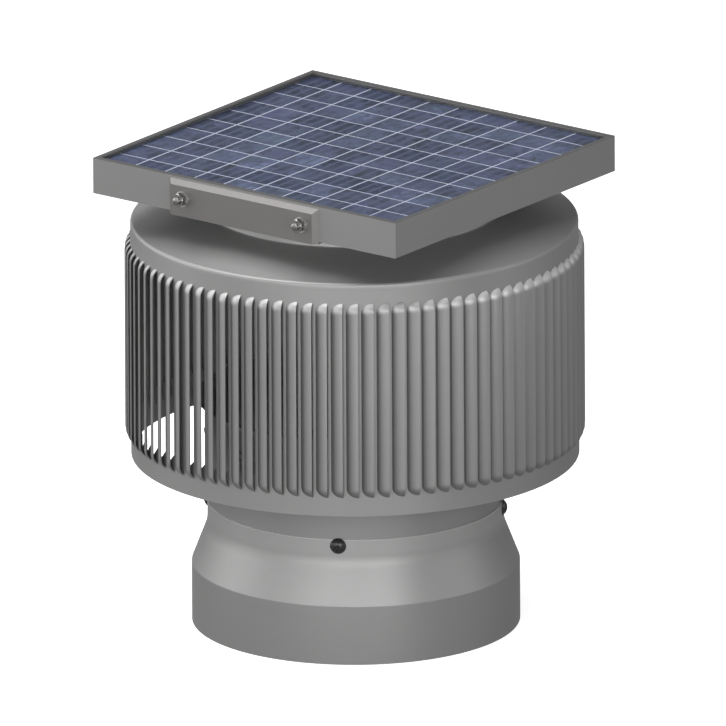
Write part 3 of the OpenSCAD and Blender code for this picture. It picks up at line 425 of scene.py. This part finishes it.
def spunSheet(name, outline, wall):
    # an outline of (radius, height) is drawn by extruding one vertex, spun, and given its wall inwards
    deselectAll()
    bpy.ops.mesh.primitive_plane_add(size=mm)
    piece = bpy.context.object
    bpy.ops.object.mode_set(mode="EDIT")
    bpy.ops.mesh.select_all(action="SELECT")
    bpy.ops.mesh.merge(type="CENTER")
    here = Vector((outline[0][0], 0, outline[0][1]))
    bpy.ops.transform.translate(value=here)
    for radius, height in outline[1:]:
        there = Vector((radius, 0, height))
        bpy.ops.mesh.extrude_vertices_move(TRANSFORM_OT_translate={"value": there - here})
        here = there
    bpy.ops.mesh.select_all(action="SELECT")
    bpy.ops.mesh.spin(steps=spun["steps"], angle=2 * math.pi, center=(0, 0, 0), axis=(0, 0, 1))
    bpy.ops.mesh.select_all(action="SELECT")
    bpy.ops.mesh.remove_doubles(threshold=touching)
    bpy.ops.mesh.normals_make_consistent(inside=False)
    bpy.ops.object.mode_set(mode="OBJECT")
    piece.name = name
    piece.data.name = name
    # an open sheet may come out turned inwards, so its widest face is asked
    widest = max(piece.data.polygons, key=lambda face: Vector(face.center[:2]).length)
    if widest.normal.dot(Vector((widest.center.x, widest.center.y, 0))) < 0:
        flipNormals(piece)
    applyModifier(piece, "SOLIDIFY", thickness=wall, offset=-1, use_even_offset=True)
    smooth(piece, spun["crease"])
    return piece


collar = {"wall": 1.6 * mm, "sleeve": 60.8 * mm, "fold": 3 * mm, "cone": 41.2 * mm, "fillet": 38 * mm,
          "ring": 148.3 * mm}


def pipeCollar():
    # sleeve, rounded fold, cone, hollow curve and neck ring
    low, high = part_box("pipe_collar")
    outer, ring, fold, fillet = high.x, collar["ring"], collar["fold"], collar["fillet"]
    lean = math.atan2(outer - ring, collar["cone"])
    leanDegrees = math.degrees(lean)
    foldZ = collar["sleeve"] - fold * math.tan(lean / 2)
    neckZ = collar["sleeve"] + collar["cone"] + fillet * math.tan(lean / 2)
    outline = [(outer, low.z)]
    outline += arcPoints(outer - fold, foldZ, fold, 0, leanDegrees, 4)
    outline += arcPoints(ring + fillet, neckZ, fillet, 180 + leanDegrees, 180, 8)
    outline += [(ring, high.z)]
    place(spunSheet("collarSheet", outline, collar["wall"]), collarMaterial, "sheet", "pipe_collar")


throat = {"wall": 1.2 * mm, "flare": 12 * mm}


def throatTube():
    # the drawn side is the flare's hollow side, which is the tube's outside
    low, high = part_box("throat_tube")
    flare = throat["flare"]
    radius = high.x - flare
    bellZ = high.z - flare - throat["wall"]
    outline = [(radius, low.z), (radius, bellZ)]
    outline += arcPoints(radius + flare, bellZ, flare, 180, 90, 10)[1:]
    place(spunSheet("throatSheet", outline, throat["wall"]), sheetMaterial, "sheet", "throat_tube")


# hubRings are shares of the hub's radius, and the foot's curve has its centre above the hub's foot by
# footLift of its own radius
cap = {"wall": 1.2 * mm, "edge": 3.5 * mm, "slope": 11.5, "hub": 150 * mm, "hubHeight": 20.2 * mm,
       "hubEdge": 3 * mm, "hubRings": (0.6, 0.2, 0.0), "foot": 2 * mm, "footLift": 0.9, "footFrom": 260,
       "grommetHole": 6.6 * mm, "drill": 20 * mm}


def capOutline(low, high):
    # short side, rolled edge, cone, hollow foot, and the hub's rounded edge and face
    outer, edge, slope = high.x, cap["edge"], math.radians(cap["slope"])
    hub, hubEdge, foot = cap["hub"], cap["hubEdge"], cap["foot"]
    edgeR = outer - edge
    hubFoot = high.z - cap["hubHeight"]
    tangentR = edgeR + edge * math.sin(slope)
    edgeZ = hubFoot - (tangentR - hub) * math.tan(slope) - edge * math.cos(slope)
    coneEnd = hub + foot
    outline = [(outer, low.z)]
    outline += arcPoints(edgeR, edgeZ, edge, 0, 90 - cap["slope"], 8)
    outline += [(coneEnd, hubFoot - foot * math.tan(slope))]
    outline += arcPoints(coneEnd, hubFoot + foot * cap["footLift"], foot, cap["footFrom"], 180, 4)[1:]
    outline += arcPoints(hub - hubEdge, high.z - hubEdge, hubEdge, 0, 90, 6)
    outline += [(share * hub, high.z) for share in cap["hubRings"]]
    return outline


def topCap():
    low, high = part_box("top_cap")
    piece = spunSheet("capSheet", capOutline(low, high), cap["wall"])
    # hole for the grommet
    grommetLow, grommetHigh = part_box("wire_grommet")
    centre = (grommetLow + grommetHigh) / 2
    deselectAll()
    bpy.ops.mesh.primitive_cylinder_add(vertices=48, radius=cap["grommetHole"], depth=cap["drill"],
                                        location=(centre.x, centre.y, high.z))
    drill = bpy.context.object
    applyModifier(piece, "BOOLEAN", object=drill, operation="DIFFERENCE", solver="EXACT")
    bpy.data.objects.remove(drill)
    smooth(piece, spun["crease"])
    place(piece, sheetMaterial, "sheet", "top_cap")


# base and head are the plain bands under and over the louvres, and lift is the height up to which the
# shell is closed behind each of them
drum = {"count": 92, "firstSlit": 2.5, "shell": 224.3 * mm, "wall": 1.2 * mm, "width": 12.3 * mm,
        "rise": 5.9 * mm, "end": 10 * mm, "base": 19 * mm, "head": 14 * mm, "margin": 0.4 * mm,
        "lift": 19 * mm, "behind": 0.1 * mm, "seam": 0.02 * mm, "crease": 30}


def sectorPlan():
    # one sector of the drum stands flat across +X, with its slit beside the middle
    low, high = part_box("louvered_drum")
    half = math.radians(360 / drum["count"]) / 2
    faceHalf = drum["shell"] * math.sin(half)
    return {
        "x": drum["shell"] * math.cos(half), "halfWidth": faceHalf,
        "slit": drum["width"] + drum["margin"] - faceHalf,
        "bottom": low.z, "top": high.z, "start": low.z + drum["base"], "end": high.z - drum["head"],
    }


def louvre(plan):
    # a slice of a ball, cut by the sheet's plane and the slit's plane
    width, rise, end = drum["width"], drum["rise"], drum["end"]
    x, slit = plan["x"], plan["slit"]
    ball = (width ** 2 + rise ** 2) / (2 * rise)
    lowRim, highRim = plan["start"] + end, plan["end"] - end
    deselectAll()
    bpy.ops.mesh.primitive_uv_sphere_add(
        segments=24, ring_count=20, radius=ball, rotation=(0, math.radians(90), 0),
        location=(x - ball + rise, slit, lowRim))
    piece = bpy.context.object
    settle(piece)
    editAll(piece)
    bpy.ops.mesh.bisect(plane_co=(x, 0, 0), plane_no=(1, 0, 0), clear_inner=True)
    bpy.ops.mesh.select_all(action="SELECT")
    bpy.ops.mesh.bisect(plane_co=(0, slit, 0), plane_no=(0, 1, 0), clear_outer=True)
    bpy.ops.mesh.select_all(action="SELECT")
    bpy.ops.transform.resize(value=(1, 1, end / width), center_override=(x, slit, lowRim))
    # the upper half goes up to the louvre's other end, and the straight length is bridged
    pick(piece, lambda c: c.z > lowRim, "FACE")
    bpy.ops.mesh.split()
    bpy.ops.transform.translate(value=(0, 0, plan["end"] - plan["start"] - 2 * end))

    def onRims(a, b):
        level = abs(a.z - b.z) < touching
        return level and (abs(a.z - lowRim) < touching or abs(a.z - highRim) < touching)

    pick(piece, onRims, "EDGE")
    bpy.ops.mesh.bridge_edge_loops()
    return piece


def addUpright(centre, width, height):
    # a rectangle that stands across +X, added to the piece that is in edit mode
    bpy.ops.mesh.select_all(action="DESELECT")
    bpy.ops.mesh.primitive_plane_add(size=1, rotation=(0, math.radians(90), 0), location=centre)
    bpy.ops.transform.resize(value=(1, width, height), center_override=centre)


def sheetRound(piece, plan):
    # the sheet is filled in between the sector's rectangle and the louvre's foot
    x, slit, bottom, top = plan["x"], plan["slit"], plan["bottom"], plan["top"]
    addUpright((x, 0, (bottom + top) / 2), 2 * plan["halfWidth"], top - bottom)
    bpy.ops.mesh.delete(type="ONLY_FACE")
    pick(piece, lambda v: abs(v.x - x) < touching and abs(v.y - slit) < touching)
    bpy.ops.mesh.edge_face_add()
    pick(piece, lambda a, b: abs(a.x - x) < touching and abs(b.x - x) < touching, "EDGE")
    bpy.ops.mesh.fill(use_beauty=True)
    bpy.ops.mesh.select_all(action="SELECT")
    bpy.ops.mesh.remove_doubles(threshold=touching)
    bpy.ops.mesh.normals_make_consistent(inside=False)
    bpy.ops.object.mode_set(mode="OBJECT")
    flat = [face for face in piece.data.polygons
            if abs(face.normal.x) > 0.999 and abs(face.center.x - x) < touching]
    if flat[0].normal.x < 0:
        flipNormals(piece)


def closedShell(piece, plan):
    # the shell stays closed behind the louvre's lower end, up to a slanting edge
    width, lift = drum["width"], drum["lift"]
    x = plan["x"] - drum["wall"] - drum["behind"]
    y, z = plan["slit"] - width / 2, plan["start"] + lift / 2
    editAll(piece)
    addUpright((x, y, z), width, lift)
    pick(piece, lambda v: v.x < x + touching and v.y < y and v.z > z)
    bpy.ops.transform.translate(value=(0, 0, -width))
    bpy.ops.object.mode_set(mode="OBJECT")


def louvredDrum():
    plan = sectorPlan()
    piece = louvre(plan)
    sheetRound(piece, plan)
    closedShell(piece, plan)
    # the sector turns to its first place, then an array closes the ring
    slitAngle = math.degrees(math.atan2(plan["slit"], plan["x"]))
    piece.data.transform(turned(drum["firstSlit"] - slitAngle))
    bpy.ops.object.empty_add(rotation=(0, 0, math.radians(360 / drum["count"])))
    pivot = bpy.context.object
    applyModifier(piece, "ARRAY", count=drum["count"], use_relative_offset=False, use_object_offset=True,
                  offset_object=pivot)
    bpy.data.objects.remove(pivot)
    weld(piece, drum["seam"])
    applyModifier(piece, "SOLIDIFY", thickness=drum["wall"], offset=-1)
    piece.name = "louvredSheet"
    piece.data.name = "louvredSheet"
    smooth(piece, drum["crease"])
    print("drum triangles", sum(len(face.vertices) - 2 for face in piece.data.polygons))
    place(piece, drumMaterial, "sheet", "louvered_drum")


pipeCollar()
throatTube()
topCap()
print("spun sheets made")
louvredDrum()
print("louvred drum made")


# widths of the soft edges: an edge over sharp degrees is softened, and one under flat degrees dissolves
softEdges = {"rail": 0.5 * mm, "bracket": 0.9 * mm, "stay": 0.4 * mm, "arm": 0.5 * mm, "box": 1.2 * mm,
             "lid": 0.5 * mm, "spider": 0.3 * mm, "sharp": 30, "flat": 1.0}


def softened(node, material, slotName, edge, segments=2, body="housing"):
    # a piece whose CAD form is right and only wants soft edges
    source = cadNodes[node]
    piece = source.copy()
    piece.data = source.data.copy()
    piece.parent = None
    for key in list(piece.keys()):
        del piece[key]
    bpy.context.collection.objects.link(piece)
    piece.name = node + "_dressed"
    piece.data.name = piece.name
    weld(piece)
    editAll(piece)
    bpy.ops.mesh.dissolve_limited(angle_limit=math.radians(softEdges["flat"]))
    bpy.ops.object.mode_set(mode="OBJECT")
    if edge:
        applyModifier(piece, "BEVEL", width=edge, segments=segments, limit_method="ANGLE",
                      angle_limit=math.radians(softEdges["sharp"]), harden_normals=False)
    smooth(piece, softEdges["sharp"])
    if edge:
        applyModifier(piece, "WEIGHTED_NORMAL", keep_sharp=True, weight=100)
    return place(piece, material, slotName, node, body=body)


for side in ("front", "rear", "left", "right"):
    softened("panel_rail_" + side, railMaterial, "frame", softEdges["rail"])
for side in ("front", "rear"):
    softened(side + "_bracket", bracketMaterial, "bracket", softEdges["bracket"], segments=3)
for number in range(1, 5):
    softened("drum_stay_%d" % number, sheetMaterial, "sheet", softEdges["stay"])
softened("motor_bracket", mountPlateMaterial, "mount_plate", softEdges["arm"])
softened("junction_box", plasticMaterial, "plastic", softEdges["box"], segments=3)
softened("junction_lid", plasticMaterial, "plastic", softEdges["lid"])
softened("fan_spider", steelMaterial, "steel", softEdges["spider"], body="fan")
for number in range(1, 6):
    softened("fan_blade_%d" % number, bladeMaterial, "blade", 0)
print("rails, brackets, stays and fan dressed")


# x and y move the gaps between the cells, the left column ends glassEdge inside the glass's edge, and
# a point within rim of a side is on that side
cellGaps = {"x": -7 * mm, "y": 5 * mm, "glassEdge": 1.5 * mm, "rim": 0.1 * mm}


def solarCells():
    # the column along the left rail runs on under the rail's lip
    rim = cellGaps["rim"]
    piece = softened("solar_cells", cellMaterial(), "cell", 0)
    low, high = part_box("solar_cells")
    pick(piece, lambda v: v.x < low.x + rim)
    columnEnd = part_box("panel_glass")[0].x + cellGaps["glassEdge"]
    bpy.ops.transform.translate(value=(columnEnd - low.x, 0, 0))
    # the gaps between the cells come nearer to the middle of the frame
    pick(piece, lambda v: low.x + rim < v.x < high.x - rim)
    bpy.ops.transform.translate(value=(cellGaps["x"], 0, 0))
    pick(piece, lambda v: low.y + rim < v.y < high.y - rim)
    bpy.ops.transform.translate(value=(0, cellGaps["y"], 0))
    bpy.ops.object.mode_set(mode="OBJECT")


solarCells()

# CAD nodes that stay as they are, with a finish
nodeFinishes = {
    "panel_backsheet": backsheetMaterial,
    "panel_glass": glassMaterial(),
    "corner_angles": steelMaterial,
    "cable_gland": plasticMaterial,
    "wire_grommet": rubberMaterial,
    "collar_nuts": steelMaterial,
    "stay_rivets": steelMaterial,
    "bracket_arm_bolts": steelMaterial,
    "bracket_arm_nuts": steelMaterial,
    "motor_screws": steelMaterial,
    "motor_can": motorMaterial,
    "motor_end_bell": plasticMaterial,
    "motor_magnets": magnetMaterial,
    "brush_card": plasticMaterial,
    "carbon_brushes": carbonMaterial,
    "lower_bearing": steelMaterial,
    "upper_bearing": steelMaterial,
    "motor_shaft": steelMaterial,
    "armature": copperMaterial,
    "commutator": copperMaterial,
    "blade_rivets": steelMaterial,
    "hub_set_screw": blackScrewMaterial,
    "side_washers": steelMaterial,
    "side_spacers": steelMaterial,
    "flange_bolts": steelMaterial,
    "flange_washers": steelMaterial,
    "flange_nuts": steelMaterial,
}
for nodeName, material in nodeFinishes.items():
    cadNodes[nodeName].data.materials.clear()
    cadNodes[nodeName].data.materials.append(material)
print("CAD nodes finished")


def standingCylinder(sides, radius, height, centre):
    deselectAll()
    bpy.ops.mesh.primitive_cylinder_add(vertices=sides, radius=radius, depth=height, location=centre)
    piece = bpy.context.object
    settle(piece)
    return piece


def bevelled(piece, width, segments):
    applyModifier(piece, "BEVEL", width=width, segments=segments, limit_method="ANGLE",
                  angle_limit=math.radians(40))


def chamferedHexagon(acrossCorners, height, chamfer, centre):
    # a hexagon cut by a chamfered disc, which leaves the curved lands of a real nut
    disc = standingCylinder(64, acrossCorners / 2, height, centre)
    bevelled(disc, chamfer, 1)
    hexagon = standingCylinder(6, acrossCorners / 2, height * 1.2, centre)
    applyModifier(hexagon, "BOOLEAN", object=disc, operation="INTERSECT", solver="EXACT")
    bpy.data.objects.remove(disc)
    return hexagon


# proud and behind are the shank's lengths before and behind the nut
sideBolt = {"diameter": 8 * mm, "nutWidth": 15 * mm, "nutHeight": 6.4 * mm, "proud": 3 * mm,
            "behind": 9 * mm, "chamfer": 1.1 * mm, "tipBevel": 0.9 * mm, "headShare": 0.65,
            "railWall": 1.8 * mm, "crease": 25}


def sideBoltShape(outFace):
    # a shank through the nut, and a head behind the rail's wall
    diameter = sideBolt["diameter"]
    bottom = outFace - sideBolt["nutHeight"] - sideBolt["behind"]
    top = outFace + sideBolt["proud"]
    shank = standingCylinder(32, diameter / 2, top - bottom, (0, 0, (top + bottom) / 2))
    bevelled(shank, sideBolt["tipBevel"], 2)
    headHeight = diameter * sideBolt["headShare"]
    headTop = -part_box("panel_rail_front")[0].y - sideBolt["railWall"]
    head = chamferedHexagon(sideBolt["nutWidth"], headHeight, sideBolt["chamfer"],
                            (0, 0, headTop - headHeight / 2))
    return joined("sideBolt", [shank, head])


def sideNutsAndBolts():
    # made standing on +Z at the origin, then laid against both brackets
    low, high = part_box("side_nuts")
    outFace = -low.y
    height = sideBolt["nutHeight"]
    nut = chamferedHexagon(sideBolt["nutWidth"], height, sideBolt["chamfer"], (0, 0, outFace - height / 2))
    bolt = sideBoltShape(outFace)
    level = (low.z + high.z) / 2
    offset = high.x - sideBolt["nutWidth"] / 2
    lay = Matrix.Rotation(math.radians(90), 4, "X")
    for name, part, node in (("sideNuts", nut, "side_nuts"), ("sideBoltShanks", bolt, "side_bolts")):
        copies = []
        for half in (0, 180):
            for side in (-1, 1):
                matrix = turned(half) @ Matrix.Translation((side * offset, 0, level)) @ lay
                copies.append(copyOf(part, matrix))
        bpy.data.objects.remove(part)
        whole = joined(name, copies)
        smooth(whole, sideBolt["crease"])
        place(whole, nutMaterial, "steel", node)


collarScrew = {"head": 16.4 * mm, "height": 4.6 * mm, "shank": 8 * mm, "length": 12 * mm,
               "tipBevel": 0.8 * mm, "socket": 5.2 * mm, "socketLevel": 0.95, "first": 30, "count": 4,
               "crease": 30}


def collarScrews():
    # a domed head sliced from a ball, with a hexagon socket
    low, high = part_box("collar_screws")
    radius, height, length = collarScrew["head"] / 2, collarScrew["height"], collarScrew["length"]
    ball = (radius ** 2 + height ** 2) / (2 * height)
    deselectAll()
    bpy.ops.mesh.primitive_uv_sphere_add(segments=32, ring_count=32, radius=ball,
                                         location=(0, 0, height - ball))
    head = bpy.context.object
    settle(head)
    editAll(head)
    bpy.ops.mesh.bisect(plane_co=(0, 0, 0), plane_no=(0, 0, 1), clear_inner=True, use_fill=True)
    bpy.ops.object.mode_set(mode="OBJECT")
    socketZ = height * collarScrew["socketLevel"]
    socket = standingCylinder(6, collarScrew["socket"] / 2, height, (0, 0, socketZ))
    applyModifier(head, "BOOLEAN", object=socket, operation="DIFFERENCE", solver="EXACT")
    bpy.data.objects.remove(socket)
    shank = standingCylinder(32, collarScrew["shank"] / 2, length, (0, 0, -length / 2))
    bevelled(shank, collarScrew["tipBevel"], 2)
    screw = joined("screw", [head, shank])
    level = (low.z + high.z) / 2
    lay = Matrix.Rotation(math.radians(90), 4, "Y")
    screw.data.transform(Matrix.Translation((collar["ring"], 0, level)) @ lay)
    angles = [collarScrew["first"] + i * 360 / collarScrew["count"] for i in range(collarScrew["count"])]
    whole = aroundAxis("collarScrewHeads", screw, angles)
    smooth(whole, collarScrew["crease"])
    place(whole, blackScrewMaterial, "black_screw", "collar_screws")


sideNutsAndBolts()
collarScrews()
print("fasteners made")


studio = {"floor": 8.0, "floorGlow": 0.7, "worldStrength": 0.277, "distance": 2.2, "aim": 0.28}
# azimuth from the camera towards its right, elevation, disc size and power
lamps = {
    "topLamp": (0, 88, 2.2, 16.8),
    "highLeftLamp": (-100, 68, 1.8, 26.9),
    "backLeftLamp": (-125, 20, 1.8, 8.6),
    "sideLeftLamp": (-95, 10, 1.6, 11.4),
    "upperLeftLamp": (-95, 45, 1.8, 4.3),
    "farLeftLamp": (-65, 10, 1.6, 3.6),
    "leftLamp": (-35, 10, 1.4, 8.1),
    "frontLeftLamp": (-12, 8, 1.2, 10.9),
    "frontLamp": (20, 8, 1.2, 14.3),
    "highFrontLamp": (10, 50, 1.8, 2.3),
    "sideRightLamp": (80, 12, 1.6, 6.0),
}
# foot is the pixel of the photograph where the ventilator's axis meets the floor
shot = {"azimuth": 36.9, "elevation": 17.2, "roll": 0.28, "pixel": 0.001, "frame": 726,
        "foot": (356.2, 616.5), "distance": 3.0, "reach": 50}


def cameraAxes():
    a, e, roll = (math.radians(shot[key]) for key in ("azimuth", "elevation", "roll"))
    back = Vector((math.sin(a) * math.cos(e), -math.cos(a) * math.cos(e), math.sin(e)))
    level = Vector((math.cos(a), math.sin(a), 0))
    rise = back.cross(level)
    right = level * math.cos(roll) - rise * math.sin(roll)
    return right, back.cross(right), back


right, rise, back = cameraAxes()


def floorPlane():
    deselectAll()
    bpy.ops.mesh.primitive_plane_add(size=studio["floor"], location=(0, 0, 0))
    floor = bpy.context.object
    floor.name = "studioFloor"
    editAll(floor)
    bpy.ops.mesh.subdivide(number_cuts=4)
    bpy.ops.object.mode_set(mode="OBJECT")
    material = surface("paleFloor", (0.88, 0.88, 0.88), dict(
        mouldedFinish, rough=0.7, roughSpread=0.05, cloud=3.0, cloudSpread=0.01, bump=0.02))
    shader = material.node_tree.nodes["Principled BSDF"]
    shader.inputs["Emission Color"].default_value = (1, 1, 1, 1)
    shader.inputs["Emission Strength"].default_value = studio["floorGlow"]
    # from below the floor is clear, so the underside can be looked at
    tree = material.node_tree
    clear = shaderNode(tree, "ShaderNodeBsdfTransparent")
    sides = shaderNode(tree, "ShaderNodeMixShader", {
        0: shaderNode(tree, "ShaderNodeNewGeometry").outputs["Backfacing"],
        1: shader.outputs["BSDF"], 2: clear.outputs["BSDF"],
    })
    tree.links.new(sides.outputs[0], tree.nodes["Material Output"].inputs["Surface"])
    floor.data.materials.append(material)
    # the floor throws no light back up, as on a white table far from the lamps
    floor.visible_diffuse = False
    floor.visible_glossy = False


def areaLight(name, position, target, size, power):
    data = bpy.data.lights.new(name, "AREA")
    data.shape = "DISK"
    data.size = size
    data.energy = power
    lamp = bpy.data.objects.new(name, data)
    bpy.context.collection.objects.link(lamp)
    lamp.location = position
    lamp.rotation_euler = (Vector(target) - Vector(position)).to_track_quat("-Z", "Y").to_euler()


def softLight():
    world = bpy.data.worlds.new("softWhite")
    world.use_nodes = True
    background = world.node_tree.nodes["Background"]
    background.inputs["Color"].default_value = (1, 1, 1, 1)
    background.inputs["Strength"].default_value = studio["worldStrength"]
    bpy.context.scene.world = world
    forward = Vector((back.x, back.y, 0)).normalized()
    across = Vector((right.x, right.y, 0)).normalized()
    middle = up * studio["aim"]
    for name, (azimuth, elevation, size, power) in lamps.items():
        a, e = math.radians(azimuth), math.radians(elevation)
        level = forward * math.cos(a) + across * math.sin(a)
        position = middle + (level * math.cos(e) + up * math.sin(e)) * studio["distance"]
        areaLight(name, position, middle, size, power)


def photoCamera():
    centre = shot["frame"] / 2
    shiftX = (centre - shot["foot"][0]) * shot["pixel"]
    shiftY = (shot["foot"][1] - centre) * shot["pixel"]
    data = bpy.data.cameras.new("photoCamera")
    data.type = "ORTHO"
    data.ortho_scale = shot["frame"] * shot["pixel"]
    data.clip_end = shot["reach"]
    camera = bpy.data.objects.new("photoCamera", data)
    bpy.context.collection.objects.link(camera)
    position = right * shiftX + rise * shiftY + back * shot["distance"]
    turn = Matrix((right, rise, back)).transposed().to_4x4()
    camera.matrix_world = Matrix.Translation(position) @ turn
    bpy.context.scene.camera = camera


floorPlane()
softLight()
photoCamera()
bpy.context.scene.view_settings.view_transform = "Standard"
print("stage, light and camera set")
